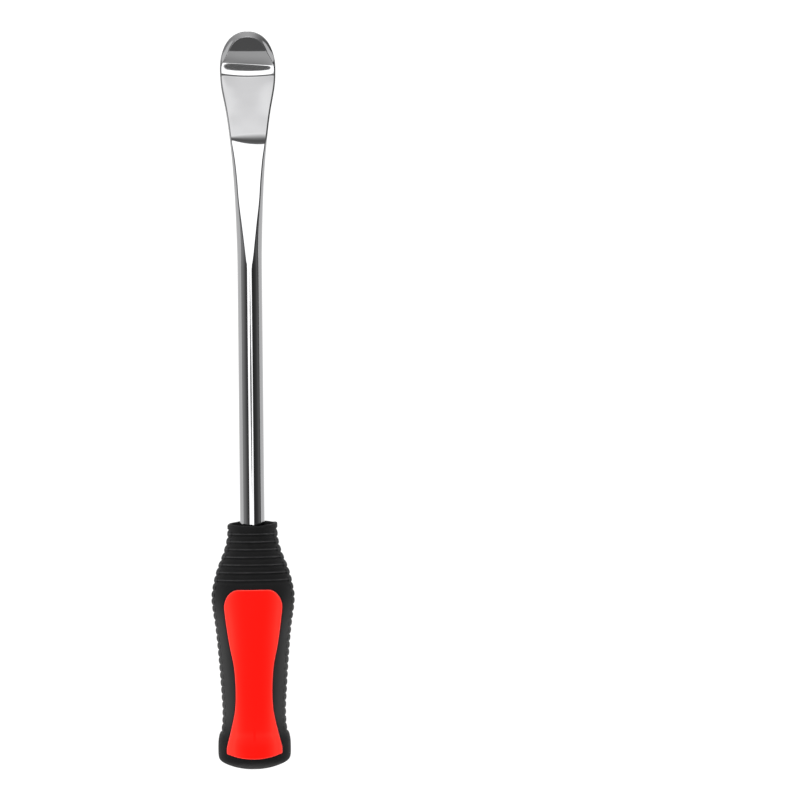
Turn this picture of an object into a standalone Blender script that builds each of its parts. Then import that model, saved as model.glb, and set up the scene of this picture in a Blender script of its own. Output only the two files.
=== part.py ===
"""Tyre lever: a chrome-plated steel spoon lever with a two-colour moulded grip.

Metres. The lever lies on its back: +Y runs along the shaft from the butt to the spoon tip, +Z is up,
out of the spoon's hollow, and X is across. The origin is at the middle of the length, on the surface
that the lever lies on. Stations along the lever are distances from the butt end.
"""

import math

import bmesh
import bpy

MM = 0.001

# Driving dimensions
LENGTH = 370 * MM
AXIS_Z = 14.9 * MM          # height of the shaft's centre line above the surface it lies on
SHAFT_RADIUS = 6.15 * MM
GAP = 0.3 * MM              # clearance between neighbouring pieces

# Spoon lever: (station, half width) of the plan outline
TANG_START = 17 * MM
TANG_CHAMFER = 1.2 * MM
EAR_STATIONS = (27 * MM, 30 * MM, 37 * MM, 40 * MM)   # where the pressed ears start, are full, end
EAR_HALF_WIDTH = 8.6 * MM
EAR_HALF_HEIGHT = 4.4 * MM
BLADE_OUTLINE = (
    (252 * MM, 6.15 * MM),
    (258 * MM, 6.2 * MM),
    (273 * MM, 6.6 * MM),
    (288 * MM, 7.2 * MM),
    (303 * MM, 8.15 * MM),
    (317 * MM, 9.5 * MM),
    (329 * MM, 11.1 * MM),
    (341 * MM, 13.25 * MM),
    (346 * MM, 13.8 * MM),
    (351 * MM, 13.95 * MM),
)
TIP_START = 351 * MM        # the tip is a superellipse from here to the end
TIP_HALF_WIDTH = 13.95 * MM
TIP_POWER = 2.25

# Spoon lever: the side view
FACE_SLOPES = (             # (station, slope of the face): the flat, the blade, the hollow, the curl
    (251 * MM, -0.075),
    (311.9 * MM, -0.075),
    (317.8 * MM, -0.33),
    (347.1 * MM, -0.33),
    (348.1 * MM, -0.08),
    (350.8 * MM, 0.05),
    (353.7 * MM, 0.082),
    (353.9 * MM, 0.2),
    (359.3 * MM, 0.285),
    (360.5 * MM, 0.35),
    (370 * MM, 0.42),
)
DISH = 3.2                  # the spoon's dish across: height per metre of width squared
DISH_FROM = 325 * MM        # the dish comes in between these
DISH_FULL = 349 * MM
BLADE_FROM = 305 * MM       # the round bar's section turns into the blade's between these
BLADE_FULL = 318.5 * MM
RIM_FROM = 351.5 * MM       # the edge widens into the tip's bevel between these
RIM_FULL = 361 * MM
BACK_PROFILE = (            # (station, height of the back above the resting surface)
    (284 * MM, 9.1 * MM),
    (302 * MM, 8.5 * MM),
    (318 * MM, 6.4 * MM),
    (334 * MM, 2.7 * MM),
    (344 * MM, 0.55 * MM),
    (349 * MM, 0.0 * MM),
    (354 * MM, 0.1 * MM),
    (360 * MM, 1.7 * MM),
    (365 * MM, 4.1 * MM),
    (370 * MM, 6.9 * MM),
)
TIP_ROUNDING = 1.6 * MM     # length over which the back rises to the rim at the very tip
RIM_WIDTH = (0.8 * MM, 3.2 * MM)      # width of the bevelled edge, on the blade and at the tip
RIM_DROP = (0.65 * MM, 3.5 * MM)      # how far that edge falls below the face
BACK_POWER = (2.0, 2.8)     # section of the back: round on the bar, flatter on the blade

# Grip: (station, half width, half thickness) of the outside
GRIP_LENGTH = 122.7 * MM
GRIP_OUTLINE = (
    (0 * MM, 18.1 * MM, 14.2 * MM),
    (13 * MM, 18.1 * MM, 14.2 * MM),
    (17 * MM, 17.6 * MM, 13.8 * MM),
    (20.5 * MM, 16.4 * MM, 13.2 * MM),
    (29 * MM, 15.9 * MM, 12.9 * MM),
    (39 * MM, 16.4 * MM, 13.0 * MM),
    (54 * MM, 17.45 * MM, 13.6 * MM),
    (70 * MM, 18.9 * MM, 14.4 * MM),
    (85 * MM, 20.85 * MM, 14.8 * MM),
    (92 * MM, 20.05 * MM, 14.7 * MM),
    (100 * MM, 18.0 * MM, 14.1 * MM),
    (110 * MM, 14.2 * MM, 13.1 * MM),
    (117 * MM, 12.7 * MM, 12.6 * MM),
    (128 * MM, 12.5 * MM, 12.5 * MM),
)
GRIP_POWER = (2.5, 2.0)     # section of the grip: squarish along the hand, round at the mouth
ROUND_FROM = 96 * MM        # the section turns round between this station and the mouth
BUTT_ARC = 34.6 * MM        # radius of the butt end
BUTT_CORNER_POWER = 14.0    # how tight the butt's corner is
SLEEVE_WALL = 2.6 * MM
CORE_BUTT = 3.4 * MM        # rubber left behind the core
CORE_CORNER = 6 * MM        # rounding of the core's butt
CORE_NOSE = 116.8 * MM
PANEL_PROUD = 0.5 * MM      # panels stand this far out of the rubber

# Panel outline: its side from top to bottom, and the ellipses and arcs that round it off
PANEL_TOP = 90.6 * MM
PANEL_SIDE = (
    (14.45 * MM, 81.5 * MM),
    (13.55 * MM, 73.6 * MM),
    (12.05 * MM, 63.7 * MM),
    (9.8 * MM, 51.9 * MM),
    (9.1 * MM, 40 * MM),
    (9.65 * MM, 30 * MM),
    (11.8 * MM, 20 * MM),
    (13.75 * MM, 12.2 * MM),
    (13.8 * MM, 9.9 * MM),
)
PANEL_CORNER_WIDTH = 7.2 * MM
PANEL_LOW_CORNER = 1 * MM
PANEL_BOTTOM = 6.7 * MM
PANEL_BOTTOM_ARC = 37 * MM
PANEL_INNER_Z = 4.0 * MM    # the window cutters start this far off the centre line
PANEL_REACH = 25 * MM

# Mesh fineness
LEVER_SIDES = 32
LEVER_RINGS = (             # (first station, last station, count) of the rings past the grip
    (150 * MM, 251 * MM, 2),
    (253 * MM, 260 * MM, 3),
    (266 * MM, 311.9 * MM, 7),
    (313.4 * MM, 317.8 * MM, 4),
    (324 * MM, 347.1 * MM, 5),
    (348.1 * MM, 353.7 * MM, 7),
    (356 * MM, 366 * MM, 8),
)
TIP_RINGS = (2.8 * MM, 1.8 * MM, 1.1 * MM, 0.6 * MM, 0.25 * MM, 0.08 * MM, 0.02 * MM)   # short of the tip
GRIP_SIDES = 36
BUTT_RINGS = (              # stations of the rings over the rounded butt
    0.02 * MM, 0.4 * MM, 1.2 * MM, 2.2 * MM, 3.4 * MM, 4.5 * MM, 5.6 * MM, 7.2 * MM, 9.5 * MM,
)


def clear_scene():
    for item in list(bpy.data.objects):
        bpy.data.objects.remove(item, do_unlink=True)


def along(station):
    """The Y of a station."""
    return station - LENGTH / 2


def smooth_through(points, station):
    """A smooth curve through (station, value, ...) points, read at one station."""
    last = len(points) - 1
    if station <= points[0][0]:
        return points[0][1:]
    if station >= points[last][0]:
        return points[last][1:]
    i = max(k for k in range(last) if points[k][0] <= station)
    width = points[i + 1][0] - points[i][0]
    u = (station - points[i][0]) / width
    weights = (2 * u**3 - 3 * u**2 + 1, u**3 - 2 * u**2 + u, 3 * u**2 - 2 * u**3, u**3 - u**2)
    values = []
    for c in range(1, len(points[0])):
        slopes = []
        for k in (i, i + 1):
            low, high = points[max(k - 1, 0)], points[min(k + 1, last)]
            slopes.append((high[c] - low[c]) / (high[0] - low[0]) * width)
        values.append(
            weights[0] * points[i][c]
            + weights[1] * slopes[0]
            + weights[2] * points[i + 1][c]
            + weights[3] * slopes[1]
        )
    return tuple(values)


def ramp(value, start, end):
    """0 before start, 1 after end, smooth between them."""
    u = min(max((value - start) / (end - start), 0.0), 1.0)
    return u * u * (3 - 2 * u)


def mix(pair, share):
    return pair[0] + (pair[1] - pair[0]) * share


def spread(start, end, count):
    """count stations from start to end, both included."""
    return [start + (end - start) * i / (count - 1) for i in range(count)]


def new_object(name, mesh):
    item = bpy.data.objects.new(name, mesh)
    bpy.context.scene.collection.objects.link(item)
    return item


def loft(name, rings):
    """A closed body through rings of equal point counts, with flat ends."""
    bm = bmesh.new()
    rows = [[bm.verts.new(point) for point in ring] for ring in rings]
    count = len(rows[0])
    for low, high in zip(rows, rows[1:]):
        for i in range(count):
            j = (i + 1) % count
            bm.faces.new((low[i], low[j], high[j], high[i]))
    bm.faces.new(rows[0])
    bm.faces.new(rows[-1])
    bmesh.ops.recalc_face_normals(bm, faces=bm.faces)
    mesh = bpy.data.meshes.new(name)
    bm.to_mesh(mesh)
    bm.free()
    return new_object(name, mesh)


def prism(name, outline, low, high):
    """A closed outline of (x, y) points, extruded from z low to z high."""
    return loft(name, [[(x, y, z) for x, y in outline] for z in (low, high)])


def boolean(item, tool, operation):
    modifier = item.modifiers.new(tool.name, "BOOLEAN")
    modifier.operation = operation
    modifier.solver = "EXACT"
    modifier.object = tool
    tool.hide_render = True
    tool.display_type = "WIRE"


# --- Spoon lever ---


def lever_half_width(station):
    if station > TIP_START:
        u = min((station - TIP_START) / (LENGTH - TIP_START), 1.0)
        return TIP_HALF_WIDTH * (1 - u**TIP_POWER) ** (1 / TIP_POWER)
    return smooth_through(BLADE_OUTLINE, station)[0]


def face_height(station):
    """Height of the face: the top line of the bar, plus the slopes added up from there."""
    height = AXIS_Z + SHAFT_RADIUS
    for (start, slope_in), (end, slope_out) in zip(FACE_SLOPES, FACE_SLOPES[1:]):
        run = min(max(station - start, 0.0), end - start)
        slope_here = slope_in + (slope_out - slope_in) * run / (end - start)
        height += run * (slope_in + slope_here) / 2
    return height


def rim_distance(x, station):
    """Distance from a point on the face to the plan outline, measured squarely near the tip."""
    half = lever_half_width(station)
    ahead = station + (LENGTH - station) * 0.02
    lean = (lever_half_width(ahead) - half) / max(ahead - station, 1e-9)
    return (half - abs(x)) / math.sqrt(1 + lean * lean)


def blade_section(station):
    """One ring round the bar, flat or blade: over the face from -X to +X, then back underneath."""
    half = lever_half_width(station)
    blade = ramp(station, BLADE_FROM, BLADE_FULL)
    tip = ramp(station, RIM_FROM, RIM_FULL)
    rim_width = mix(RIM_WIDTH, tip)
    rim_drop = mix(RIM_DROP, tip)
    face = face_height(station)
    dish = DISH * ramp(station, DISH_FROM, DISH_FULL)
    rim = AXIS_Z + (face + dish * half**2 - rim_drop - AXIS_Z) * blade
    power = mix(BACK_POWER, blade)
    back = max(smooth_through(BACK_PROFILE, station)[0], 0.0)
    end = min(max((station - LENGTH + TIP_ROUNDING) / TIP_ROUNDING, 0.0), 1.0)
    depth = (rim - back) * math.sqrt(1 - end * end)
    count = LEVER_SIDES // 2
    ring = []
    for i in range(count + 1):
        x = -half * math.cos(math.pi * i / count)
        u = min(abs(x) / half, 1.0)
        arch = AXIS_Z + SHAFT_RADIUS * math.sqrt(1 - u * u)
        inset = min(rim_distance(x, station) / rim_width, 1.0)
        bevelled = face + dish * x * x - rim_drop * (1 - inset)
        ring.append((x, along(station), mix((min(arch, face), bevelled), blade)))
    for i in range(1, count):
        x = half * math.cos(math.pi * i / count)
        u = abs(x) / half
        ring.append((x, along(station), rim - depth * (1 - u**power) ** (1 / power)))
    return ring


def bar_section(station, half_width, half_height):
    count = LEVER_SIDES
    ring = []
    for i in range(count):
        angle = math.pi - 2 * math.pi * i / count
        z = AXIS_Z + half_height * math.sin(angle)
        ring.append((half_width * math.cos(angle), along(station), z))
    return ring


def tang_rings(extra, start):
    """The bar inside the grip, with its pressed ears, grown by extra all round."""
    ear_in, ear_full, ear_out, ear_end = EAR_STATIONS
    plain = SHAFT_RADIUS + extra
    wide = EAR_HALF_WIDTH + extra
    low = EAR_HALF_HEIGHT + extra
    rings = [bar_section(start, plain - TANG_CHAMFER, plain - TANG_CHAMFER)]
    rings.append(bar_section(start + TANG_CHAMFER, plain, plain))
    rings.append(bar_section(ear_in, plain, plain))
    rings.append(bar_section(ear_full, wide, low))
    rings.append(bar_section(ear_out, wide, low))
    rings.append(bar_section(ear_end, plain, plain))
    return rings


def make_spoon_lever():
    rings = tang_rings(0.0, TANG_START)
    for first, last, count in LEVER_RINGS:
        rings += [blade_section(station) for station in spread(first, last, count)]
    rings += [blade_section(LENGTH - short) for short in TIP_RINGS]
    return loft("spoon_lever", rings)


# --- Grip ---


def grip_size(station):
    """Half width and half thickness of the grip's outside, with the butt end rounded off."""
    half_width, half_thick = smooth_through(GRIP_OUTLINE, station)
    reach = min(station, BUTT_ARC)
    arc = math.sqrt(2 * BUTT_ARC * reach - reach * reach)
    blend = (1 + (half_width / arc) ** BUTT_CORNER_POWER) ** (-1 / BUTT_CORNER_POWER)
    return (half_width * blend, half_thick * blend)


def grip_ring(station, half_width, half_thick):
    power = mix(GRIP_POWER, ramp(station, ROUND_FROM, GRIP_LENGTH))
    ring = []
    for i in range(GRIP_SIDES):
        angle = 2 * math.pi * (i + 0.5) / GRIP_SIDES
        c, s = math.cos(angle), math.sin(angle)
        x = half_width * math.copysign(abs(c) ** (2 / power), c)
        z = half_thick * math.copysign(abs(s) ** (2 / power), s)
        ring.append((x, along(station), AXIS_Z + z))
    return ring


def grip_stations(end):
    return list(BUTT_RINGS) + spread(13 * MM, 88 * MM, 17) + spread(92 * MM, end, 9)


def outer_body(name, proud, end):
    """The grip's outer form, grown by proud all round."""
    rings = []
    for station in grip_stations(end):
        half_width, half_thick = grip_size(station)
        rings.append(grip_ring(station, half_width + proud, half_thick + proud))
    return loft(name, rings)


def inner_body(name, grow, end):
    """The grip's inner form, under the rubber: the core itself, or its cavity when grown."""
    rings = []
    butt = CORE_BUTT - grow
    corner = CORE_CORNER
    stations = [butt + corner * (1 - math.cos(math.radians(a))) for a in (12, 30, 48, 66, 90)]
    stations += spread(13 * MM, 88 * MM, 16) + spread(92 * MM, end, 8)
    for station in stations:
        half_width, half_thick = smooth_through(GRIP_OUTLINE, station)
        u = min(max(1 - (station - butt) / corner, 0.0), 1.0)
        rounding = (1 - 0.55 * (1 - math.sqrt(1 - u * u)))
        inset = SLEEVE_WALL - grow
        rings.append(
            grip_ring(station, (half_width - inset) * rounding, (half_thick - inset) * rounding)
        )
    return loft(name, rings)


def panel_outline(grow):
    """The panel's hourglass outline as (x, y) points, grown by grow all round."""
    side_x, side_top = PANEL_SIDE[0]
    low_x, low_y = PANEL_SIDE[-1]
    right = []
    for degrees in (90, 75, 60, 45, 30, 15):
        angle = math.radians(degrees)
        x = side_x - PANEL_CORNER_WIDTH + PANEL_CORNER_WIDTH * math.cos(angle)
        right.append((x, side_top + (PANEL_TOP - side_top) * math.sin(angle)))
    by_station = [(s, x) for x, s in reversed(PANEL_SIDE)]
    for station in spread(side_top, low_y, 19):
        right.append((smooth_through(by_station, station)[0], station))
    for degrees in (25, 50, 72):
        angle = math.radians(degrees)
        x = low_x - PANEL_LOW_CORNER + PANEL_LOW_CORNER * math.cos(angle)
        right.append((x, low_y - PANEL_LOW_CORNER * math.sin(angle)))
    for x in (12 * MM, 9 * MM, 6 * MM, 3 * MM):
        rise = PANEL_BOTTOM_ARC - math.sqrt(PANEL_BOTTOM_ARC**2 - x * x)
        right.append((x, PANEL_BOTTOM + rise))
    left = [(-x, s) for x, s in reversed(right)]
    loop = right + [(0.0, PANEL_BOTTOM)] + left
    grown = []
    for i, (x, s) in enumerate(loop):
        before, after = loop[i - 1], loop[(i + 1) % len(loop)]
        dx, ds = after[0] - before[0], after[1] - before[1]
        size = math.hypot(dx, ds)
        grown.append((x - grow * ds / size, along(s + grow * dx / size)))
    return grown


def make_grip_core():
    core = inner_body("grip_core", 0.0, CORE_NOSE)
    rings = tang_rings(GAP, TANG_START - GAP)
    plain = SHAFT_RADIUS + GAP
    rings.append(bar_section(CORE_NOSE + 5 * MM, plain, plain))
    boolean(core, loft("cut_core_bore", rings), "DIFFERENCE")
    return core


def make_rubber_sleeve():
    sleeve = outer_body("rubber_sleeve", 0.0, GRIP_LENGTH)
    boolean(sleeve, inner_body("cut_sleeve_cavity", GAP, GRIP_LENGTH + 3 * MM), "DIFFERENCE")
    window = panel_outline(GAP)
    for side, name in ((1, "cut_front_window"), (-1, "cut_rear_window")):
        near, far = AXIS_Z + side * PANEL_INNER_Z, AXIS_Z + side * PANEL_REACH
        boolean(sleeve, prism(name, window, near, far), "DIFFERENCE")
    return sleeve


def make_panel(name, side):
    """One red inlay. The rear one is cut off level with the resting surface, which gives it a flat."""
    panel = outer_body(name, PANEL_PROUD, GRIP_LENGTH)
    boolean(panel, inner_body("cut_cavity_" + name, GAP, GRIP_LENGTH + 3 * MM), "DIFFERENCE")
    near = AXIS_Z + side * PANEL_INNER_Z
    far = AXIS_Z + PANEL_REACH if side > 0 else 0.0
    boolean(panel, prism("keep_" + name, panel_outline(0.0), near, far), "INTERSECT")
    return panel


# --- Finish ---


def finish(item, color, roughness, metallic=0.0):
    material = bpy.data.materials.new(item.name)
    material.use_nodes = True
    shader = material.node_tree.nodes["Principled BSDF"]
    shader.inputs["Base Color"].default_value = (*color, 1.0)
    shader.inputs["Roughness"].default_value = roughness
    shader.inputs["Metallic"].default_value = metallic
    item.data.materials.append(material)
    item.data.shade_smooth()
    item.data.set_sharp_from_angle(angle=math.radians(35))


def main():
    clear_scene()
    finish(make_spoon_lever(), (0.62, 0.62, 0.63), 0.06, metallic=1.0)
    finish(make_grip_core(), (0.02, 0.02, 0.02), 0.5)
    finish(make_rubber_sleeve(), (0.025, 0.025, 0.026), 0.6)
    finish(make_panel("front_panel", 1), (0.86, 0.03, 0.015), 0.35)
    finish(make_panel("rear_panel", -1), (0.86, 0.03, 0.015), 0.35)


main()
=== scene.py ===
"""Looks of the tyre lever: polished chrome, ribbed rubber and satin red panels, in a plain studio."""

import math

import bmesh
import bpy
import numpy as np
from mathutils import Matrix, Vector


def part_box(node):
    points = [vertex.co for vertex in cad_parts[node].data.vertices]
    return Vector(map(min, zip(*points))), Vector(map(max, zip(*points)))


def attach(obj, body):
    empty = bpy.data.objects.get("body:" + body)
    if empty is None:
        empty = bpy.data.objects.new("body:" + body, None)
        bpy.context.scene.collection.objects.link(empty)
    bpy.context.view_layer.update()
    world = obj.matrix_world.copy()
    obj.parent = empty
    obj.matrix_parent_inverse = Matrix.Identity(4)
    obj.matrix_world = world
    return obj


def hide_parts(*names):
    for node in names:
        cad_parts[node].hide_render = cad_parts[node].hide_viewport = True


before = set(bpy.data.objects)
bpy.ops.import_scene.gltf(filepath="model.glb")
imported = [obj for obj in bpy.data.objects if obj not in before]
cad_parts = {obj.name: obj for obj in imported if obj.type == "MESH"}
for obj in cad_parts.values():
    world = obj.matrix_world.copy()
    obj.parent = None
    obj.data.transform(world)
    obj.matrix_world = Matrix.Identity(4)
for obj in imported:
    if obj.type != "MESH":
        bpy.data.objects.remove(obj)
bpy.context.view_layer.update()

MM = 0.001

# --- Places read from the frame ---

LEVER_LOW, LEVER_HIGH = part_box("spoon_lever")
BUTT_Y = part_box("rubber_sleeve")[0][1]
LENGTH = LEVER_HIGH[1] - BUTT_Y
TANG_START = LEVER_LOW[1] - BUTT_Y
SHAFT_RADIUS = 6.15 * MM
AXIS_Z = LEVER_HIGH[2] - SHAFT_RADIUS

# --- Lever. Stations are distances along it from the butt ---

BLADE_OUTLINE = (           # (station, half width)
    (252 * MM, 6.15 * MM),
    (258 * MM, 6.2 * MM),
    (273 * MM, 6.6 * MM),
    (288 * MM, 7.2 * MM),
    (303 * MM, 8.15 * MM),
    (317 * MM, 9.5 * MM),
    (329 * MM, 11.1 * MM),
    (341 * MM, 13.25 * MM),
    (346 * MM, 13.8 * MM),
    (351 * MM, 13.95 * MM),
)
TIP_START = 351 * MM
TIP_HALF_WIDTH = 13.95 * MM
TIP_POWER = 2.25
# The face, as (station, slope, slant, bow): the slant tilts that line across the lever, in metres of
# length per metre of width, and the bow carries its two ends toward the tip
FACE_SLOPES = (
    (251 * MM, -0.075, 0.0, 0.0),
    (311.9 * MM, -0.075, -0.15, 1.2 * MM),
    (317.8 * MM, -0.33, 0.1, -0.6 * MM),
    (347.1 * MM, -0.33, 0.0, 0.9 * MM),
    (348.1 * MM, -0.08, 0.0, 0.9 * MM),
    (350.6 * MM, 0.05, 0.0, 0.3 * MM),
    (353.7 * MM, 0.082, -0.07, 0.0),
    (353.9 * MM, 0.2, -0.045, 0.0),
    (359.3 * MM, 0.285, 0.0, 0.0),
    (360.5 * MM, 0.35, 0.0, 0.0),
    (370 * MM, 0.42, 0.0, 0.0),
)
DISH = 3.2                  # the spoon's dish across: height per metre of width squared
DISH_FROM = 325 * MM
DISH_FULL = 349 * MM
LEAST_STRETCH = 0.06 * MM   # what is left of a stretch that a bow or a slant closes up
BLADE_FROM = 305 * MM       # the round bar's section turns into the blade's between these
BLADE_FULL = 318.5 * MM
SHOULDER_POWER = (          # (station, power of the bar's upper outline): 2 is round, less is leaner
    (251 * MM, 2.0),
    (262 * MM, 1.76),
    (284 * MM, 1.84),
    (294 * MM, 1.64),
    (304 * MM, 1.52),
)
RIM_FROM = 351.5 * MM       # the edge widens into the tip's bevel between these
RIM_FULL = 361 * MM
BACK_PROFILE = (            # (station, height of the underside)
    (284 * MM, 9.1 * MM),
    (302 * MM, 8.5 * MM),
    (318 * MM, 6.4 * MM),
    (334 * MM, 2.7 * MM),
    (344 * MM, 0.55 * MM),
    (349 * MM, 0.0 * MM),
    (354 * MM, 0.1 * MM),
    (360 * MM, 1.7 * MM),
    (365 * MM, 4.1 * MM),
    (370 * MM, 6.9 * MM),
)
TIP_ROUNDING = 1.6 * MM
RIM_WIDTH = (0.8 * MM, 3.2 * MM)   # the bevel's width and fall, along the blade and round the tip
RIM_DROP = (0.65 * MM, 3.5 * MM)
RIM_SOFTNESS = 0.12         # rounding of the bevel's two creases, as a share of its width
BACK_POWER = (2.0, 2.8)     # power of the underside's section, on the bar and on the blade
EDGE_SOFTNESS = (0.15 * MM, 0.5 * MM)   # rounding of the ground flat's edges, growing between these
EDGE_SOFTENS = (256 * MM, 276 * MM)
EDGE_FADE = 16              # power by which bends and slants fade out at the face's very edge
UNDERSIDE_POINTS = 50
EARS = ((27 * MM, 0.0), (30 * MM, 1.0), (37 * MM, 1.0), (40 * MM, 0.0))
EAR_HALF_WIDTH = 8.6 * MM
EAR_HALF_HEIGHT = 4.4 * MM
TANG_CHAMFER = 1.2 * MM
TANG_RINGS = (24 * MM, 43 * MM, 40)
LEVER_RINGS = (             # (first station, last station, count), close together at each bend
    (46 * MM, 246 * MM, 30),
    (248 * MM, 310 * MM, 64),
    (310.4 * MM, 321 * MM, 54),
    (322 * MM, 347 * MM, 24),
    (347.3 * MM, 352.9 * MM, 38),
    (353 * MM, 354.8 * MM, 37),
    (354.9 * MM, 355.7 * MM, 6),
    (355.9 * MM, 364 * MM, 36),
)
TIP_RINGS = 80              # from the last of those to the tip, closing up toward it
TIP_GAP = 0.01 * MM         # what the last ring stays short of the tip
OUTLINE_POINTS = (1500, 1000)   # along the blade and round the tip, to measure the bevel from

# --- Grip ---

GRIP_OUTLINE = (            # (station, half width, half thickness)
    (0 * MM, 18.1 * MM, 14.2 * MM),
    (13 * MM, 18.1 * MM, 14.2 * MM),
    (17 * MM, 17.6 * MM, 13.8 * MM),
    (20.5 * MM, 16.4 * MM, 13.2 * MM),
    (29 * MM, 15.9 * MM, 12.9 * MM),
    (39 * MM, 16.4 * MM, 13.0 * MM),
    (54 * MM, 17.45 * MM, 13.6 * MM),
    (70 * MM, 18.9 * MM, 14.4 * MM),
    (85 * MM, 20.85 * MM, 14.8 * MM),
    (92 * MM, 20.05 * MM, 14.7 * MM),
    (100 * MM, 18.0 * MM, 14.1 * MM),
    (110 * MM, 14.2 * MM, 13.1 * MM),
    (117 * MM, 12.7 * MM, 12.6 * MM),
    (128 * MM, 12.5 * MM, 12.5 * MM),
)
GRIP_LENGTH = 122.7 * MM
GRIP_POWER = (2.5, 2.0)     # power of the section on the grip and at the mouth: 2 is an ellipse
ROUND_FROM = 96 * MM
BUTT_ARC = 34.6 * MM        # radius of the butt's crown
BUTT_CORNER_POWER = 14.0    # more makes a tighter corner between the crown and the sides
SLEEVE_WALL = 2.6 * MM
CORE_BUTT = 3.4 * MM
CORE_NOSE = 116.8 * MM
CORE_CORNER = 6 * MM        # the core's rounded butt, and how much of its width the rounding takes
CORE_CORNER_SHARE = 0.55
MOUTH_THINNING = 0.7 * MM   # how much thinner the sleeve's wall gets from the core's nose to the lip
GAP = 0.3 * MM
LIP_START = GRIP_LENGTH - 0.6 * MM
LIP_HEIGHT = 0.8 * MM
LIP_WAVE_FROM = 118 * MM
LIP_WAVES = (               # (waves round the mouth, height, phase)
    (1, 0.75 * MM, math.pi),
    (1, 0.3 * MM, math.pi / 2),
    (3, 0.22 * MM, 0.9),
    (7, 0.12 * MM, 2.0),
)
RING_STEP = 0.3 * MM        # between the sleeve's rings along the ribs and teeth
BUTT_EDGE = 6.6 * MM        # the sleeve's last rings close up toward the butt from here
BUTT_RINGS = 26
WINDOW_CUT = (4 * MM, 25 * MM)   # heights off the axis between which a window is cut

# --- Ribs on the neck, and teeth on the grip's two sides ---

RIB_START = 93.3 * MM       # a valley; ribs run up from here and side teeth down
RIB_END = 120 * MM
RIB_EASE = 0.4 * MM         # ribs come in over this length on each side of their start
RIB_PITCH = 3.79 * MM
TOOTH_PITCH = 3.7 * MM
TOOTH_DEPTH = 0.75 * MM
TOOTH_SHARPNESS = 2.6       # power of a tooth's profile: 1 is a zigzag, more is a rounder tooth
RIB_DEPTH = 0.65 * MM
RIB_PROFILE = (             # (share of the pitch from the crest, depth of cut as a share)
    (0.0, 0.0),
    (0.05, 0.12),
    (0.13, 0.62),
    (0.2, 0.5),
    (0.4, 0.42),
    (0.62, 0.5),
    (0.78, 0.95),
    (0.86, 1.0),
    (0.95, 0.2),
    (1.0, 0.0),
)
COLLAR_TOP = 18.4 * MM      # the smooth butt ends here and the teeth start
COLLAR_EASE = (0.3 * MM, 0.5 * MM)
BAND_HALF = 7.6 * MM        # half height of the toothed band on each side,
BAND_SHARE = 0.56           # and at most this share of the grip's half thickness
BAND_GROOVE = 0.35 * MM
BAND_EDGE = 0.02            # half widths round the section, in radians: of the band's border,
GROOVE_SPREAD = 0.022       # of the groove on it,
BORDER_REACH = 0.055        # and of the stretch where points are crowded

# --- Panels ---

PANEL_PROUD = 0.5 * MM      # how far the face stands off the grip's surface
PANEL_TOP = 90.6 * MM
PANEL_SIDE = (              # (station, half width)
    (9.9 * MM, 13.8 * MM),
    (12.2 * MM, 13.75 * MM),
    (20 * MM, 11.8 * MM),
    (30 * MM, 9.65 * MM),
    (40 * MM, 9.1 * MM),
    (51.9 * MM, 9.8 * MM),
    (63.7 * MM, 12.05 * MM),
    (73.6 * MM, 13.55 * MM),
    (81.5 * MM, 14.45 * MM),
)
PANEL_CORNER_WIDTH = 7.2 * MM
PANEL_LOW_CORNER = 1 * MM
PANEL_BOTTOM = 6.7 * MM
PANEL_BOTTOM_ARC = 37 * MM
PANEL_CHAMFER = 0.6 * MM
PANEL_LOW_EDGE = 12.3 * MM  # half width of the bottom arc
PANEL_SKIRT = (-2.2 * MM, -1.0 * MM, -0.25 * MM)   # heights of the skirt's rings off the grip's surface
CHAMFER_FOOT = -0.1 * MM    # where the chamfer starts, off the grip's surface
PANEL_SPINE = (9 * MM, 12 * MM)   # how far the line that the face closes on stays from the two ends

# --- Materials: each pair of shades is mixed by a fine noise ---

CHROME_SHADES = ((0.35, 0.35, 0.355), (0.375, 0.375, 0.38))
RUBBER_SHADES = ((0.006, 0.006, 0.0062), (0.0095, 0.0095, 0.0098))
RUBBER_SIDE_SHEEN = (0.028, 0.028, 0.028)   # painted sheen on the grip's two leaning sides
RUBBER_CREST_HIGHLIGHT = (0.031, 0.031, 0.032)      # painted highlight along the crests of the ribs
SIDE_SHEEN_FROM = (14 * MM, 30 * MM)        # the painted side sheen comes in between these stations
SIDE_SHEEN_UNTIL = (70 * MM, 96 * MM)       # and goes out between these
SIDE_SHEEN_HEIGHTS = (9.5 * MM, 14 * MM)          # heights off the axis between which it fades out
CREST_HIGHLIGHT_HALF = 0.08           # half width of the painted highlight line on each crest, as a share of the pitch
RED_PAINTED_SHADING = (              # (share of the normal that points up or down, colour): painted shading, a painted sheen paler on the leaning sides and painted shade darker on the chamfer
    (0.45, (0.5, 0.03, 0.025)),
    (0.7, (0.88, 0.04, 0.03)),
    (0.78, (0.95, 0.032, 0.022)),
    (0.93, (0.96, 0.028, 0.019)),
    (0.998, (0.94, 0.0048, 0.0013)),
)
CORE_SHADES = ((0.006, 0.006, 0.006), (0.012, 0.012, 0.012))

# --- Camera: straight above, the lever left of the middle and turned a touch ---

CAMERA_HEIGHT = 1.2
CAMERA_TURN = math.radians(-3.604)
CAMERA_ROLL = math.radians(-0.59)
CAMERA_Y = -0.5 * MM
FRAME_WIDTH = 400.2 * MM    # what the picture spans at the height of the shaft
SENSOR = 36.0

# --- Studio ---

FLOOR_REACH = 4.0           # half the floor's side
BACKDROP = (3.9, 3.0)       # radius and height of the white wall
WHITE_SHADES = ((0.11, 0.11, 0.11), (0.13, 0.13, 0.13))
WHITE_GLOW = 0.98
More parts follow.
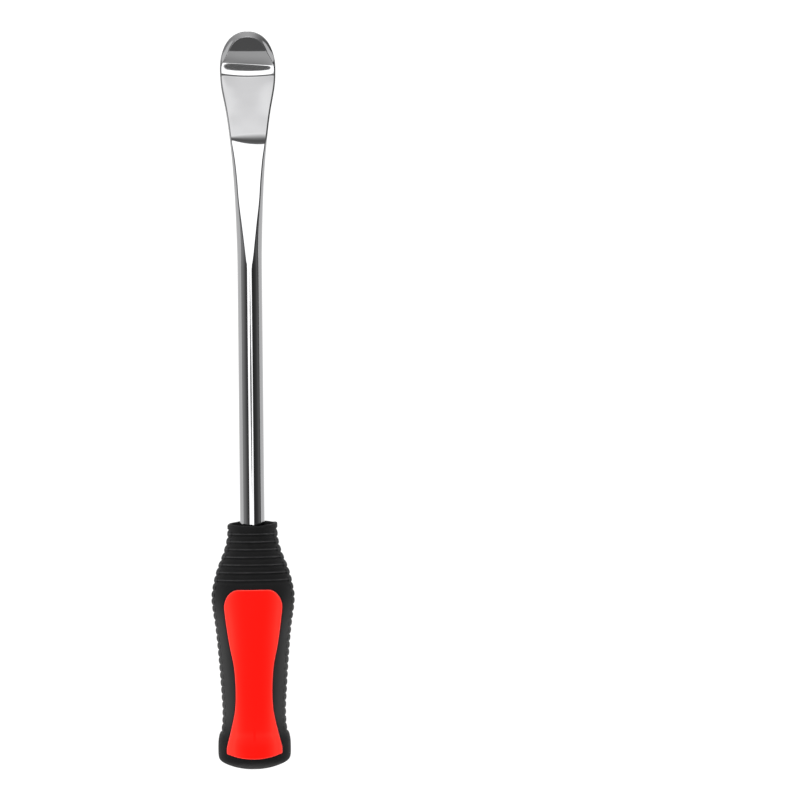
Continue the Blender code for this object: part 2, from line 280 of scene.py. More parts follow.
# Studio brightness against the angle from straight overhead, in degrees: along the lever, positive
# toward the tip, and across it, positive to the right
SKY_ALONG = (
    (-90, 0.5), (-60, 0.3), (-46, 0.18), (-28.2, 0.18), (-27.2, 0.84), (-21, 0.82), (-16, 0.6),
    (-13.5, 0.42), (-10.5, 0.3), (-9.3, 3.3), (17, 3.3), (18.5, 0.3), (22, 0.26), (26, 0.2),
    (30.5, 0.42), (35.4, 1.1), (40, 1.85), (42.6, 2.15), (43.5, 1.72), (52, 1.4), (70, 1.0), (90, 0.9),
)
SKY_ACROSS = (
    (-90, 0.5), (-75, 0.46), (-64, 0.35), (-53, 0.23), (-43, 0.13), (-35, 0.1), (-27.4, 0.1),
    (-25.6, 3.3), (15, 3.3), (17, 0.05), (33, 0.06), (43, 0.08), (53, 0.1), (64, 0.18), (75, 0.25),
    (83, 0.14), (90, 0.1),
)
# Lights as (name, place, size, power)
LIGHTS = (
    ("overhead", (0.0, 0.0, 2.2), (3.0, 3.0), 8.0),
    ("left_side", (-1.5, 0.0, 0.3), (2.0, 0.4), 28.0),
    ("right_side", (1.5, 0.0, 0.3), (2.0, 0.4), 20.0),
    ("butt_end", (0.0, -1.5, 0.3), (2.0, 0.4), 16.0),
    ("tip_end", (0.0, 1.5, 0.3), (2.0, 0.4), 16.0),
)
# The dark gap in the soft box that the camera looks through, in degrees
GAP_MIDDLE = (0.3, 0.4)     # across, along
GAP_REACH = (7.7, 3.0)
GAP_POWER = 1.25            # 2 is an ellipse, 1 a diamond
GAP_EDGE = (0.85, 1.15)     # the gap's soft edge, as shares of its reach
GAP_DARK = 0.07             # what is left of the soft box's brightness there


# --- Curves and helpers ---


def along(station):
    return station + BUTT_Y


def smooth_through(points, station):
    """A smooth curve through (station, value, ...) points, read at one station."""
    last = len(points) - 1
    if station <= points[0][0]:
        return points[0][1:]
    if station >= points[last][0]:
        return points[last][1:]
    i = max(k for k in range(last) if points[k][0] <= station)
    width = points[i + 1][0] - points[i][0]
    u = (station - points[i][0]) / width
    weights = (2 * u**3 - 3 * u**2 + 1, u**3 - 2 * u**2 + u, 3 * u**2 - 2 * u**3, u**3 - u**2)
    values = []
    for c in range(1, len(points[0])):
        slopes = []
        for k in (i, i + 1):
            low, high = points[max(k - 1, 0)], points[min(k + 1, last)]
            slopes.append((high[c] - low[c]) / (high[0] - low[0]) * width)
        values.append(
            weights[0] * points[i][c]
            + weights[1] * slopes[0]
            + weights[2] * points[i + 1][c]
            + weights[3] * slopes[1]
        )
    return tuple(values)


def ramp(value, start, end):
    """0 before start, 1 after end, smooth between them. Takes numbers and arrays."""
    u = np.clip((value - start) / (end - start), 0.0, 1.0)
    return u * u * (3 - 2 * u)


def mix(pair, share):
    return pair[0] + (pair[1] - pair[0]) * share


def soft_min(a, b, softness):
    """The lower of two heights, with the crease between them rounded."""
    h = np.clip(0.5 + 0.5 * (b - a) / softness, 0.0, 1.0)
    return b + (a - b) * h - softness * h * (1 - h)


def lofted(name, rings, sharp=40):
    """A closed smooth-shaded mesh through rings of equal point counts."""
    count = len(rings[0])
    points = np.concatenate([np.asarray(ring, float) for ring in rings])
    faces = []
    for r in range(len(rings) - 1):
        for i in range(count):
            j = (i + 1) % count
            faces.append((r * count + i, r * count + j, (r + 1) * count + j, (r + 1) * count + i))
    faces.append(tuple(range(count)))
    top = (len(rings) - 1) * count
    faces.append(tuple(range(top, top + count)))
    mesh = bpy.data.meshes.new(name)
    mesh.from_pydata(points.tolist(), [], faces)
    bm = bmesh.new()
    bm.from_mesh(mesh)
    bmesh.ops.recalc_face_normals(bm, faces=bm.faces)
    bm.to_mesh(mesh)
    bm.free()
    mesh.shade_smooth()
    mesh.set_sharp_from_angle(angle=math.radians(sharp))
    item = bpy.data.objects.new(name, mesh)
    bpy.context.scene.collection.objects.link(item)
    return item


def apply_modifiers(item):
    """Puts the modifiers' result in the mesh itself."""
    graph = bpy.context.evaluated_depsgraph_get()
    mesh = bpy.data.meshes.new_from_object(item.evaluated_get(graph))
    item.modifiers.clear()
    old = item.data
    item.data = mesh
    bpy.data.meshes.remove(old)


# --- Lever ---


def lever_half_width(station):
    if station > TIP_START:
        u = min((station - TIP_START) / (LENGTH - TIP_START), 1.0)
        return TIP_HALF_WIDTH * (1 - u**TIP_POWER) ** (1 / TIP_POWER)
    return smooth_through(BLADE_OUTLINE, station)[0]


def face_height(station, x):
    """Height of the face at a station and across it, by adding up the slope of each stretch."""
    side = np.minimum(np.abs(x) / lever_half_width(station), 1.0) ** 2
    places = [start + slant * x + bow * side for start, _, slant, bow in FACE_SLOPES]
    for i in reversed(range(len(places) - 1)):
        places[i] = np.minimum(places[i], places[i + 1] - LEAST_STRETCH)
    height = np.full_like(x, AXIS_Z + SHAFT_RADIUS)
    if station < FACE_SLOPES[0][0]:
        return height + FACE_SLOPES[0][1] * (station - FACE_SLOPES[0][0])
    for i in range(len(FACE_SLOPES) - 1):
        slope_in, slope_out = FACE_SLOPES[i][1], FACE_SLOPES[i + 1][1]
        length = places[i + 1] - places[i]
        run = np.clip(station - places[i], 0.0, length)
        height += run * (2 * slope_in + (slope_out - slope_in) * run / length) / 2
    return height


def outline_points():
    """Fine points of the blade's plan outline on the right, as arrays of stations and half widths."""
    stations = list(np.linspace(BLADE_FROM, TIP_START, OUTLINE_POINTS[0], endpoint=False))
    turn = np.linspace(0, math.pi / 2, OUTLINE_POINTS[1])
    stations += [TIP_START + (LENGTH - TIP_START) * math.sin(angle) for angle in turn]
    return np.array(stations), np.array([lever_half_width(s) for s in stations])


OUTLINE_S, OUTLINE_X = outline_points()


def edge_distance(station, x):
    """Distance of points across the face from the plan outline."""
    gap_s = (OUTLINE_S - station)[None, :]
    gap_x = OUTLINE_X[None, :] - np.abs(x)[:, None]
    return np.sqrt(np.min(gap_s**2 + gap_x**2, axis=1))


def inset_half_width(station, inset):
    """Half width, at a station, of the outline moved in by inset."""
    near = np.abs(OUTLINE_S - station) < inset
    if not near.any():
        return lever_half_width(station) - inset
    reach = np.sqrt(inset**2 - (OUTLINE_S[near] - station) ** 2)
    return max(float(np.min(OUTLINE_X[near] - reach)), 0.0)


def face_samples(half, edge):
    """Points across the face from -half to half, close together at both edges of the flat."""
    edge = max(edge, 0.15 * half)
    near = min(0.35 * MM, 0.45 * (half - edge), 0.45 * edge)
    inner = np.linspace(0, edge - near, 14, endpoint=False)
    middle = np.linspace(edge - near, edge + near, 9, endpoint=False)
    outer = edge + near + (half - edge - near) * np.sin(np.linspace(0, math.pi / 2, 14))
    right = np.concatenate([inner, middle, outer])
    return np.concatenate([-right[:0:-1], right])


def bevel_drop(inset):
    """The bevel's fall against the distance in from its outer edge, both as shares, creases eased."""
    t = np.clip(1 - inset, 0.0, 1.0)
    ease = RIM_SOFTNESS
    return np.where(t < ease, t * t / (2 * ease), t - ease / 2) / (1 - ease / 2)


def bar_top(station, u, face, shoulder):
    """Heights of the round bar's upper side with the face ground into it, at shares u across."""
    arch = AXIS_Z + SHAFT_RADIUS * (1 - u**shoulder) ** (1 / shoulder)
    ground = soft_min(arch, face, mix(EDGE_SOFTNESS, float(ramp(station, *EDGE_SOFTENS))))
    return np.maximum(np.minimum(ground, arch), AXIS_Z)


def underside(station, half, rim, blade):
    """Points from one edge to the other round the back of a section, as (x, height) arrays."""
    power = mix(BACK_POWER, blade)
    back = max(smooth_through(BACK_PROFILE, station)[0], 0.0)
    end = min(max((station - LENGTH + TIP_ROUNDING) / TIP_ROUNDING, 0.0), 1.0)
    depth = (rim - back) * math.sqrt(1 - end * end)
    x = half * np.cos(np.linspace(0, math.pi, UNDERSIDE_POINTS)[1:-1])
    return x, rim - depth * (1 - (np.abs(x) / half) ** power) ** (1 / power)


def lever_section(station):
    """One ring of the lever, turning from the ground bar into the bevelled blade."""
    half = lever_half_width(station)
    blade = float(ramp(station, BLADE_FROM, BLADE_FULL))
    tip = float(ramp(station, RIM_FROM, RIM_FULL))
    rim_width = mix(RIM_WIDTH, tip)
    rim_drop = mix(RIM_DROP, tip)
    shoulder = smooth_through(SHOULDER_POWER, station)[0]
    middle = float(face_height(station, np.zeros(1))[0])
    dip = min(max((middle - AXIS_Z) / SHAFT_RADIUS, 0.0), 1.0)
    edge_bar = half * (1 - dip**shoulder) ** (1 / shoulder)
    edge_blade = inset_half_width(station, rim_width)
    top_x = face_samples(half, mix((edge_bar, edge_blade), blade))
    u = np.minimum(np.abs(top_x) / half, 1.0)
    dish = DISH * float(ramp(station, DISH_FROM, DISH_FULL))
    face = middle + (face_height(station, top_x) - middle) * (1 - u**EDGE_FADE) + dish * top_x**2
    inset = np.minimum(edge_distance(station, top_x) / rim_width, 1.0)
    bevelled = face - rim_drop * bevel_drop(inset)
    top = mix((bar_top(station, u, face, shoulder), bevelled), blade)
    rim = AXIS_Z + (middle + dish * half**2 - rim_drop - AXIS_Z) * blade
    under_x, under = underside(station, half, rim, blade)
    x = np.concatenate([top_x, under_x])
    z = np.concatenate([top, under])
    return np.stack([x, np.full_like(x, along(station)), z], axis=1)


def tang_section(station):
    """The hidden bar in the grip, with its pressed ears, on the same number of points."""
    ear = smooth_through(EARS, station)[0]
    half_width = mix((SHAFT_RADIUS, EAR_HALF_WIDTH), ear)
    half_height = mix((SHAFT_RADIUS, EAR_HALF_HEIGHT), ear)
    chamfer = TANG_CHAMFER * (1 - float(ramp(station, TANG_START, TANG_START + TANG_CHAMFER)))
    template = lever_section(LEVER_RINGS[0][0])
    x = template[:, 0] / SHAFT_RADIUS
    z = (template[:, 2] - AXIS_Z) / SHAFT_RADIUS
    y = np.full_like(x, along(station))
    return np.stack([x * (half_width - chamfer), y, AXIS_Z + z * (half_height - chamfer)], axis=1)


def make_lever():
    stations = list(np.linspace(TANG_START, TANG_START + TANG_CHAMFER, 4))
    stations += list(np.linspace(*TANG_RINGS))
    rings = [tang_section(s) for s in stations]
    stations = [s for stretch in LEVER_RINGS for s in np.linspace(*stretch)]
    last = stations[-1]
    turn = np.linspace(0, math.pi / 2, TIP_RINGS)[1:]
    stations += [last + (LENGTH - last - TIP_GAP) * math.sin(angle) for angle in turn]
    rings += [lever_section(s) for s in stations]
    lever = lofted("lever_forging", rings, sharp=60)
    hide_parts("spoon_lever")
    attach(lever, "root")
    return lever


# --- Grip sleeve ---


def grip_size(station):
    half_width, half_thick = smooth_through(GRIP_OUTLINE, station)
    reach = min(max(station, 0.0), BUTT_ARC)
    arc = math.sqrt(2 * BUTT_ARC * reach - reach * reach)
    blend = (1 + (half_width / max(arc, 1e-6)) ** BUTT_CORNER_POWER) ** (-1 / BUTT_CORNER_POWER)
    return half_width * blend, half_thick * blend


def grip_power(station):
    return mix(GRIP_POWER, float(ramp(station, ROUND_FROM, GRIP_LENGTH)))


def band_angles(station, half_thick):
    """Angles round the section, crowded at the borders of the two toothed side bands."""
    power = grip_power(station)
    band = min(BAND_HALF, BAND_SHARE * half_thick)
    border = math.asin((band / half_thick) ** (power / 2))
    side = np.linspace(0, border - BORDER_REACH, 9, endpoint=False)
    edge = np.linspace(border - BORDER_REACH, border + BORDER_REACH, 9, endpoint=False)
    face = np.linspace(border + BORDER_REACH, math.pi / 2, 22)
    quarter = np.concatenate([side, edge, face])
    half = np.concatenate([quarter, math.pi - quarter[-2::-1]])
    return np.concatenate([half, math.pi + half[1:-1]]), border


def tooth_profiles(station):
    """How deep the front ribs and the side teeth are cut at a station, from 0 to 1."""
    pitch = RIB_PITCH if station > RIB_START else TOOTH_PITCH
    t = ((station - RIB_START) / pitch) % 1.0
    front = smooth_through(RIB_PROFILE, (t - 0.5) % 1.0)[0]
    return front, abs(2 * t - 1) ** TOOTH_SHARPNESS


def mouth_shift(station, angles):
    """The uneven cut of the mouth, fading out below it: lower in front, higher behind and right."""
    share = float(ramp(station, LIP_WAVE_FROM, GRIP_LENGTH))
    return share * sum(size * np.sin(count * angles + start) for count, size, start in LIP_WAVES)


def sleeve_ring(station):
    """One outside ring, with ribs, teeth and the groove at each band's border."""
    half_width, half_thick = grip_size(station)
    angles, border = band_angles(station, half_thick)
    power = grip_power(station)
    c, s = np.cos(angles), np.sin(angles)
    ux = np.sign(c) * np.abs(c) ** (2 / power)
    uz = np.sign(s) * np.abs(s) ** (2 / power)
    nx = np.sign(ux) * np.abs(ux) ** (power - 1) / half_width
    nz = np.sign(uz) * np.abs(uz) ** (power - 1) / half_thick
    size = np.hypot(nx, nz)
    nx, nz = nx / size, nz / size
    fold = np.abs(np.arcsin(np.clip(np.abs(s), 0, 1)))
    in_band = 1 - ramp(fold, border - BAND_EDGE, border + BAND_EDGE)
    front_cut, side_cut = tooth_profiles(station)
    ribs = float(ramp(station, RIB_START - RIB_EASE, RIB_START + RIB_EASE))
    teeth = float(ramp(station, COLLAR_TOP - COLLAR_EASE[0], COLLAR_TOP + COLLAR_EASE[1]))
    lip = 1 - float(ramp(station, RIB_END, RIB_END + LIP_HEIGHT))
    cut = in_band * teeth * lip * TOOTH_DEPTH * side_cut
    cut = cut + (1 - in_band) * ribs * lip * RIB_DEPTH * front_cut
    groove = np.exp(-(((fold - border) / GROOVE_SPREAD) ** 2)) * BAND_GROOVE * teeth * lip
    cut = np.maximum(cut, groove)
    x = half_width * ux - nx * cut
    z = AXIS_Z + half_thick * uz - nz * cut
    return np.stack([x, along(station) + mouth_shift(station, angles), z], axis=1)


def cavity_ring(station):
    """One inside ring: the grip's outline less the wall, a gap outside the core."""
    half_width, half_thick = smooth_through(GRIP_OUTLINE, station)
    u = min(max(1 - (station - CORE_BUTT + GAP) / CORE_CORNER, 0.0), 1.0)
    rounding = 1 - CORE_CORNER_SHARE * (1 - math.sqrt(1 - u * u))
    thinning = float(ramp(station, CORE_NOSE, GRIP_LENGTH)) * MOUTH_THINNING
    inset = SLEEVE_WALL - GAP - thinning
    angles, _ = band_angles(station, half_thick)
    power = grip_power(station)
    c, s = np.cos(angles), np.sin(angles)
    x = (half_width - inset) * rounding * np.sign(c) * np.abs(c) ** (2 / power)
    z = (half_thick - inset) * rounding * np.sign(s) * np.abs(s) ** (2 / power)
    y = along(station) + mouth_shift(station, angles)
    return np.stack([x, y, AXIS_Z + z], axis=1)


def sleeve_stations():
    """Stations of the inside rings, from the butt up, and of the outside rings, from the lip down."""
    corner = [1 - math.cos(math.radians(degrees)) for degrees in (14, 32, 50, 70, 90)]
    inside = [CORE_BUTT - GAP + CORE_CORNER * share for share in corner]
    inside += list(np.linspace(12 * MM, 117 * MM, 44))
    inside += list(np.linspace(LIP_WAVE_FROM, LIP_START, 7))
    count = int((LIP_START - COLLAR_TOP) / RING_STEP)
    outside = list(np.linspace(LIP_START, COLLAR_TOP - 1 * MM, count))
    outside += list(np.linspace(COLLAR_TOP - 1.6 * MM, 7 * MM, 16))
    outside += [BUTT_EDGE * share**2 + 0.02 * MM for share in np.linspace(1, 0.05, BUTT_RINGS)]
    return inside, outside


def make_sleeve():
    """One closed shell: up the cavity, over the lip and down the outside to the butt."""
    inside, outside = sleeve_stations()
    rings = [cavity_ring(station) for station in inside]
    inner, outer = rings[-1], sleeve_ring(LIP_START)
    for turn in np.linspace(0, math.pi, 9)[1:-1]:
        ring = inner + (outer - inner) * (1 - math.cos(turn)) / 2
        ring[:, 1] += LIP_HEIGHT * math.sin(turn)
        rings.append(ring)
    rings += [sleeve_ring(station) for station in outside]
    sleeve = lofted("grip_sleeve", rings)
    window = panel_outline(GAP)
    for side, name in ((1, "front_window"), (-1, "rear_window")):
        ends = [AXIS_Z + side * height for height in WINDOW_CUT]
        tool = lofted(name, [[(x, y, z) for x, y in window] for z in ends])
        cut = sleeve.modifiers.new(name, "BOOLEAN")
        cut.operation = "DIFFERENCE"
        cut.solver = "MANIFOLD"
        cut.object = tool
        apply_modifiers(sleeve)
        bpy.data.objects.remove(tool, do_unlink=True)
    sleeve.data.shade_smooth()
    sleeve.data.set_sharp_from_angle(angle=math.radians(50))
    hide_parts("rubber_sleeve")
    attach(sleeve, "root")
    return sleeve


# --- Panels ---


def panel_loop():
    """The panel's outline as (x, station) points, clockwise from the top."""
    side_top, side_x = PANEL_SIDE[-1]
    low_s, low_x = PANEL_SIDE[0]
    right = []
    for x in np.linspace(0, side_x - PANEL_CORNER_WIDTH, 8)[1:-1]:
        right.append((x, PANEL_TOP))
    for degrees in np.linspace(90, 4, 22):
        angle = math.radians(degrees)
        x = side_x - PANEL_CORNER_WIDTH + PANEL_CORNER_WIDTH * math.cos(angle)
        right.append((x, side_top + (PANEL_TOP - side_top) * math.sin(angle)))
    for station in np.linspace(side_top, low_s, 70):
        right.append((smooth_through(PANEL_SIDE, station)[0], station))
    for degrees in (12, 24, 36, 48, 60, 70):
        angle = math.radians(degrees)
        x = low_x - PANEL_LOW_CORNER + PANEL_LOW_CORNER * math.cos(angle)
        right.append((x, low_s - PANEL_LOW_CORNER * math.sin(angle)))
    for x in np.linspace(PANEL_LOW_EDGE, 1 * MM, 12):
        rise = PANEL_BOTTOM_ARC - math.sqrt(PANEL_BOTTOM_ARC**2 - x * x)
        right.append((x, PANEL_BOTTOM + rise))
    left = [(-x, s) for x, s in reversed(right)]
    return [(0.0, PANEL_TOP)] + right + [(0.0, PANEL_BOTTOM)] + left


def grown_loop(grow):
    """The panel's outline, moved outward by grow."""
    loop = panel_loop()
    grown = []
    for i, (x, s) in enumerate(loop):
        before, after = loop[i - 1], loop[(i + 1) % len(loop)]
        dx, ds = after[0] - before[0], after[1] - before[1]
        size = math.hypot(dx, ds)
        grown.append((x - grow * ds / size, s + grow * dx / size))
    return grown


def panel_outline(grow):
    return [(x, along(s)) for x, s in grown_loop(grow)]


def grip_surface(x, station):
    """Height above the axis of the grip's outside."""
    half_width, half_thick = grip_size(station)
    power = grip_power(station)
    u = min(abs(x) / half_width, 1.0)
    return half_thick * (1 - u**power) ** (1 / power)


def make_panel(name, node, side):
    """A skirt down into the window, a rounded chamfer, and the crowned face."""
    rings = []
    for proud in PANEL_SKIRT:
        rings.append([(x, s, grip_surface(x, s) + proud) for x, s in grown_loop(0.0)])
    for turn in np.linspace(0, math.pi / 2, 6):
        edge = grown_loop(-PANEL_CHAMFER * (1 - math.cos(turn)))
        proud = CHAMFER_FOOT + (PANEL_PROUD - CHAMFER_FOOT) * math.sin(turn)
        rings.append([(x, s, grip_surface(x, s) + proud) for x, s in edge])
    spine = (PANEL_BOTTOM + PANEL_SPINE[0], PANEL_TOP - PANEL_SPINE[1])
    for share in np.linspace(0.96, 0.03, 26):
        ring = []
        for x, s in edge:
            centre = min(max(s, spine[0]), spine[1])
            px, ps = x * share, centre + (s - centre) * share
            ring.append((px, ps, grip_surface(px, ps) + PANEL_PROUD))
        rings.append(ring)
    placed = []
    for ring in rings:
        heights = [max(AXIS_Z + side * z, 0.0) for _, _, z in ring]
        placed.append([(x, along(s), h) for (x, s, _), h in zip(ring, heights)])
    panel = lofted(name, placed, sharp=50)
    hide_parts(node)
    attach(panel, "root")
    return panel


# --- Materials ---


def math_node(tree, operation, a, b=None):
    node = tree.nodes.new("ShaderNodeMath")
    node.operation = operation
    for socket, value in zip(node.inputs, (a, b)):
        if isinstance(value, (int, float)):
            socket.default_value = value
        elif value is not None:
            tree.links.new(value, socket)
    return node.outputs[0]


def new_material(name):
    material = bpy.data.materials.new(name)
    material.use_nodes = True
    tree = material.node_tree
    return material, tree, tree.nodes["Principled BSDF"]


def split_vector(tree, kind):
    """The three parts of a texture coordinate, such as Object or Normal."""
    place = tree.nodes.new("ShaderNodeTexCoord")
    split = tree.nodes.new("ShaderNodeSeparateXYZ")
    tree.links.new(place.outputs[kind], split.inputs[0])
    return split.outputs


def noise(tree, scale, detail):
    place = tree.nodes.new("ShaderNodeTexCoord")
    node = tree.nodes.new("ShaderNodeTexNoise")
    node.inputs["Scale"].default_value = scale
    node.inputs["Detail"].default_value = detail
    tree.links.new(place.outputs["Object"], node.inputs["Vector"])
    return node.outputs["Fac"]


def spread_value(tree, source, low, high):
    """Maps a 0 to 1 pattern onto the range low to high."""
    node = tree.nodes.new("ShaderNodeMapRange")
    node.inputs["From Min"].default_value = 0.3
    node.inputs["From Max"].default_value = 0.7
    node.inputs["To Min"].default_value = low
    node.inputs["To Max"].default_value = high
    tree.links.new(source, node.inputs["Value"])
    return node.outputs["Result"]


def tint(tree, source, base, other):
    """Mixes two colours by a 0 to 1 pattern. The base may also be another node's colour."""
    node = tree.nodes.new("ShaderNodeMix")
    node.data_type = "RGBA"
    if isinstance(base, tuple):
        node.inputs["A"].default_value = (*base, 1.0)
    else:
        tree.links.new(base, node.inputs["A"])
    node.inputs["B"].default_value = (*other, 1.0)
    tree.links.new(source, node.inputs["Factor"])
    return node.outputs["Result"]


def bump(tree, source, strength, distance):
    node = tree.nodes.new("ShaderNodeBump")
    node.inputs["Strength"].default_value = strength
    node.inputs["Distance"].default_value = distance
    tree.links.new(source, node.inputs["Height"])
    return node.outputs["Normal"]


def smooth_step(tree, source, start, end):
    """0 at start, 1 at end, smooth between them. The start may be the higher of the two."""
    node = tree.nodes.new("ShaderNodeMapRange")
    node.interpolation_type = "SMOOTHSTEP"
    node.inputs["From Min"].default_value = start
    node.inputs["From Max"].default_value = end
    tree.links.new(source, node.inputs["Value"])
    return node.outputs["Result"]


def fill_ramp(ramp_node, stops):
    """Sets a colour ramp's stops from (position, colour) pairs."""
    elements = ramp_node.color_ramp.elements
    while len(elements) < len(stops):
        elements.new(0.5)
    for element, (position, color) in zip(elements, stops):
        element.position = position
        element.color = (*color, 1.0)


def chrome():
    material, tree, shader = new_material("chrome_plate")
    shader.inputs["Metallic"].default_value = 1.0
    color = tint(tree, noise(tree, scale=60, detail=2), *CHROME_SHADES)
    tree.links.new(color, shader.inputs["Base Color"])
    rough = spread_value(tree, noise(tree, scale=35, detail=4), low=0.03, high=0.07)
    tree.links.new(rough, shader.inputs["Roughness"])
    wave = bump(tree, noise(tree, scale=90, detail=1), strength=0.06, distance=0.0004)
    tree.links.new(wave, shader.inputs["Normal"])
    return material


def painted_side_sheen(tree, y, z):
    """Mask of the painted sheen: 1 on the sides of the grip between the butt and the neck, 0 elsewhere.
    """
    off_axis = math_node(tree, "ABSOLUTE", math_node(tree, "SUBTRACT", z, AXIS_Z))
    low = smooth_step(tree, off_axis, SIDE_SHEEN_HEIGHTS[1], SIDE_SHEEN_HEIGHTS[0])
    past_butt = smooth_step(tree, y, along(SIDE_SHEEN_FROM[0]), along(SIDE_SHEEN_FROM[1]))
    before_neck = smooth_step(tree, y, along(SIDE_SHEEN_UNTIL[1]), along(SIDE_SHEEN_UNTIL[0]))
    lengthwise = math_node(tree, "MULTIPLY", past_butt, before_neck)
    return math_node(tree, "MULTIPLY", low, lengthwise)


def painted_crest_highlights(tree, y):
    """A patchy painted highlight line along the crest of each rib on the neck."""
    above = math_node(tree, "SUBTRACT", y, along(RIB_START))
    phase = math_node(tree, "FRACT", math_node(tree, "DIVIDE", above, RIB_PITCH))
    off_crest = math_node(tree, "ABSOLUTE", math_node(tree, "SUBTRACT", phase, 0.5))
    crest = math_node(tree, "LESS_THAN", off_crest, CREST_HIGHLIGHT_HALF)
    in_ribs = math_node(tree, "GREATER_THAN", above, 0.0)
    below_lip = math_node(tree, "LESS_THAN", above, RIB_END - RIB_START)
    patchy = spread_value(tree, noise(tree, scale=260, detail=3), low=0.35, high=1.0)
    ribs = math_node(tree, "MULTIPLY", in_ribs, below_lip)
    return math_node(tree, "MULTIPLY", math_node(tree, "MULTIPLY", crest, ribs), patchy)


def rubber():
    """Fine-grained black rubber, with painted sheen on its two sides and a painted highlight along the
    crests of the ribs.
    """
    material, tree, shader = new_material("grip_rubber")
    plain = tint(tree, noise(tree, scale=120, detail=4), *RUBBER_SHADES)
    _, y, z = split_vector(tree, "Object")
    # Painted sheen: the grip's two sides are made paler where side light would catch them
    painted_sheen_colour = tint(tree, painted_side_sheen(tree, y, z), plain, RUBBER_SIDE_SHEEN)
    # Painted highlight: a paler line along each rib's crest
    crest_lit_colour = tint(tree, painted_crest_highlights(tree, y), painted_sheen_colour, RUBBER_CREST_HIGHLIGHT)
    tree.links.new(crest_lit_colour, shader.inputs["Base Color"])
    rough = spread_value(tree, noise(tree, scale=300, detail=3), low=0.56, high=0.68)
    tree.links.new(rough, shader.inputs["Roughness"])
    shader.inputs["Specular IOR Level"].default_value = 0.1
    grain = bump(tree, noise(tree, scale=2600, detail=2), strength=0.35, distance=0.00012)
    tree.links.new(grain, shader.inputs["Normal"])
    return material


def red_plastic():
    """Satin red, with a painted sheen that makes the panel's leaning sides a little paler and painted
    shade that makes its chamfer darker.
    """
    material, tree, shader = new_material("panel_red")
    # Painted shading by the way the surface faces: painted sheen on the leaning sides, painted shade on
    # the chamfer
    _, _, z = split_vector(tree, "Normal")
    upright = math_node(tree, "ABSOLUTE", z)
    shades = tree.nodes.new("ShaderNodeValToRGB")
    tree.links.new(upright, shades.inputs["Fac"])
    fill_ramp(shades, RED_PAINTED_SHADING)
    tree.links.new(shades.outputs["Color"], shader.inputs["Base Color"])
    rough = spread_value(tree, noise(tree, scale=250, detail=3), low=0.36, high=0.44)
    tree.links.new(rough, shader.inputs["Roughness"])
    shader.inputs["Specular IOR Level"].default_value = 0.04
    shader.inputs["Sheen Weight"].default_value = 0.12
    shader.inputs["Sheen Roughness"].default_value = 0.4
    grain = bump(tree, noise(tree, scale=3200, detail=2), strength=0.12, distance=0.00006)
    tree.links.new(grain, shader.inputs["Normal"])
    return material


def core_plastic():
    material, tree, shader = new_material("core_plastic")
    color = tint(tree, noise(tree, scale=100, detail=3), *CORE_SHADES)
    tree.links.new(color, shader.inputs["Base Color"])
    rough = spread_value(tree, noise(tree, scale=400, detail=3), low=0.5, high=0.7)
    tree.links.new(rough, shader.inputs["Roughness"])
    return material


def give(item, material):
    item.data.materials.clear()
    item.data.materials.append(material)


# --- Studio ---


def make_camera():
    data = bpy.data.cameras.new("camera")
    data.sensor_width = SENSOR
    data.lens = SENSOR * (CAMERA_HEIGHT - AXIS_Z) * math.cos(CAMERA_TURN) / FRAME_WIDTH
    data.clip_end = 20
    camera = bpy.data.objects.new("camera", data)
    camera.location = (0.0, CAMERA_Y, CAMERA_HEIGHT)
    camera.rotation_euler = (0.0, CAMERA_TURN, CAMERA_ROLL)
    bpy.context.scene.collection.objects.link(camera)
    bpy.context.scene.camera = camera


def make_stage(name, bm, specular):
    """A plain white piece of the studio, lit from within like a light table."""
    mesh = bpy.data.meshes.new(name)
    bm.to_mesh(mesh)
    bm.free()
    item = bpy.data.objects.new(name, mesh)
    bpy.context.scene.collection.objects.link(item)
    material, tree, shader = new_material(name + "_white")
    color = tint(tree, noise(tree, scale=3, detail=2), *WHITE_SHADES)
    tree.links.new(color, shader.inputs["Base Color"])
    shader.inputs["Emission Color"].default_value = (1.0, 1.0, 1.0, 1.0)
    shader.inputs["Emission Strength"].default_value = WHITE_GLOW
    shader.inputs["Roughness"].default_value = 0.9
    shader.inputs["Specular IOR Level"].default_value = specular
    give(item, material)
    return item


def make_floor():
    bm = bmesh.new()
    bmesh.ops.create_grid(bm, x_segments=8, y_segments=8, size=FLOOR_REACH)
    make_stage("floor", bm, specular=0.1)


def make_backdrop():
    """A white wall round the floor, for low camera angles. The chrome doesn't mirror it."""
    radius, height = BACKDROP
    bm = bmesh.new()
    bmesh.ops.create_cone(bm, segments=96, radius1=radius, radius2=radius, depth=height)
    bmesh.ops.translate(bm, verts=bm.verts, vec=(0.0, 0.0, height / 2))
    wall = make_stage("backdrop", bm, specular=0.5)
    wall.data.shade_smooth()
    wall.visible_glossy = False
    wall.visible_diffuse = False
    wall.visible_shadow = False


def curve_of(tree, angle, stops):
    """Brightness against an angle in degrees, with straight runs between the stops."""
    ramp_node = tree.nodes.new("ShaderNodeValToRGB")
    low, high = stops[0][0], stops[-1][0]
    share = tree.nodes.new("ShaderNodeMapRange")
    share.inputs["From Min"].default_value = math.radians(low)
    share.inputs["From Max"].default_value = math.radians(high)
    tree.links.new(angle, share.inputs["Value"])
    tree.links.new(share.outputs["Result"], ramp_node.inputs["Fac"])
    peak = max(value for _, value in stops)
    fill_ramp(ramp_node, [((at - low) / (high - low), (value / peak,) * 3) for at, value in stops])
    return math_node(tree, "MULTIPLY", ramp_node.outputs["Color"], peak)


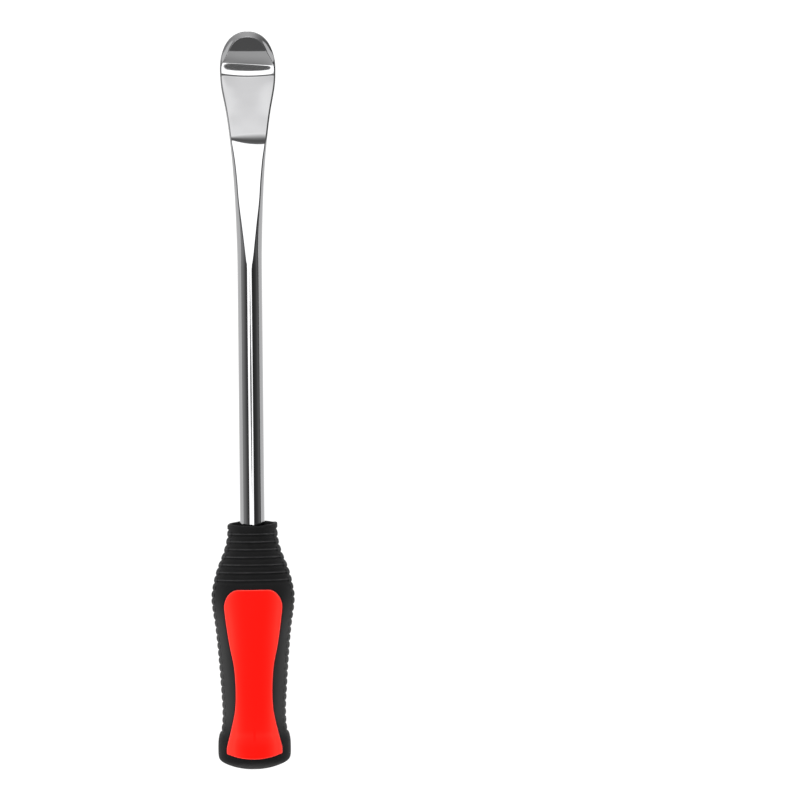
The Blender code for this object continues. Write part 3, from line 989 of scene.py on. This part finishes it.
def outside_gap(tree, across, lengthwise):
    """0 inside the gap and 1 outside it, with a narrow soft edge."""
    total = 0.0
    for angle, middle, reach in zip((across, lengthwise), GAP_MIDDLE, GAP_REACH):
        off = math_node(tree, "SUBTRACT", angle, math.radians(middle))
        share = math_node(tree, "DIVIDE", math_node(tree, "ABSOLUTE", off), math.radians(reach))
        total = math_node(tree, "ADD", math_node(tree, "POWER", share, GAP_POWER), total)
    node = tree.nodes.new("ShaderNodeMapRange")
    node.inputs["From Min"].default_value = GAP_EDGE[0]
    node.inputs["From Max"].default_value = GAP_EDGE[1]
    tree.links.new(total, node.inputs["Value"])
    return node.outputs["Result"]


def make_world():
    """A soft box overhead with darker studio round it. Each direction takes its brightness from the
    two curves, at its angle from overhead, blended by its bearing."""
    world = bpy.data.worlds.new("studio")
    bpy.context.scene.world = world
    world.use_nodes = True
    tree = world.node_tree
    tree.nodes.clear()
    x, y, z = split_vector(tree, "Generated")
    across = math_node(tree, "ARCTAN2", x, z)
    lengthwise = math_node(tree, "ARCTAN2", y, z)
    off_top = math_node(tree, "ARCCOSINE", z)
    side_x = math_node(tree, "MULTIPLY", math_node(tree, "SIGN", x), off_top)
    side_y = math_node(tree, "MULTIPLY", math_node(tree, "SIGN", y), off_top)
    square_x = math_node(tree, "MULTIPLY", x, x)
    square_y = math_node(tree, "MULTIPLY", y, y)
    both = math_node(tree, "ADD", math_node(tree, "ADD", square_x, square_y), 1e-7)
    share_x = math_node(tree, "DIVIDE", square_x, both)
    share_y = math_node(tree, "SUBTRACT", 1.0, share_x)
    part_x = math_node(tree, "POWER", curve_of(tree, side_x, SKY_ACROSS), share_x)
    part_y = math_node(tree, "POWER", curve_of(tree, side_y, SKY_ALONG), share_y)
    clear = math_node(tree, "MAXIMUM", outside_gap(tree, across, lengthwise), GAP_DARK)
    sky = math_node(tree, "MULTIPLY", math_node(tree, "MULTIPLY", part_x, part_y), clear)
    background = tree.nodes.new("ShaderNodeBackground")
    out = tree.nodes.new("ShaderNodeOutputWorld")
    tree.links.new(sky, background.inputs["Color"])
    background.inputs["Strength"].default_value = 1.0
    tree.links.new(background.outputs[0], out.inputs["Surface"])


def make_light(name, place, size, power):
    """A broad, even light turned to the lever. The chrome doesn't mirror it: it mirrors the studio."""
    data = bpy.data.lights.new(name, "AREA")
    data.shape = "RECTANGLE"
    data.size, data.size_y = size
    data.energy = power
    light = bpy.data.objects.new(name, data)
    light.location = place
    light.rotation_euler = Vector(place).to_track_quat("Z", "Y").to_euler()
    light.visible_glossy = False
    light.visible_camera = False
    bpy.context.scene.collection.objects.link(light)


def main():
    make_camera()
    bpy.context.scene.view_settings.view_transform = "Standard"
    make_floor()
    make_backdrop()
    make_world()
    for light in LIGHTS:
        make_light(*light)
    lever = make_lever()
    sleeve = make_sleeve()
    give(lever, chrome())
    give(sleeve, rubber())
    red = red_plastic()
    for name, node, side in (("panel_front", "front_panel", 1), ("panel_back", "rear_panel", -1)):
        give(make_panel(name, node, side), red)
    give(bpy.data.objects["grip_core"], core_plastic())


main()
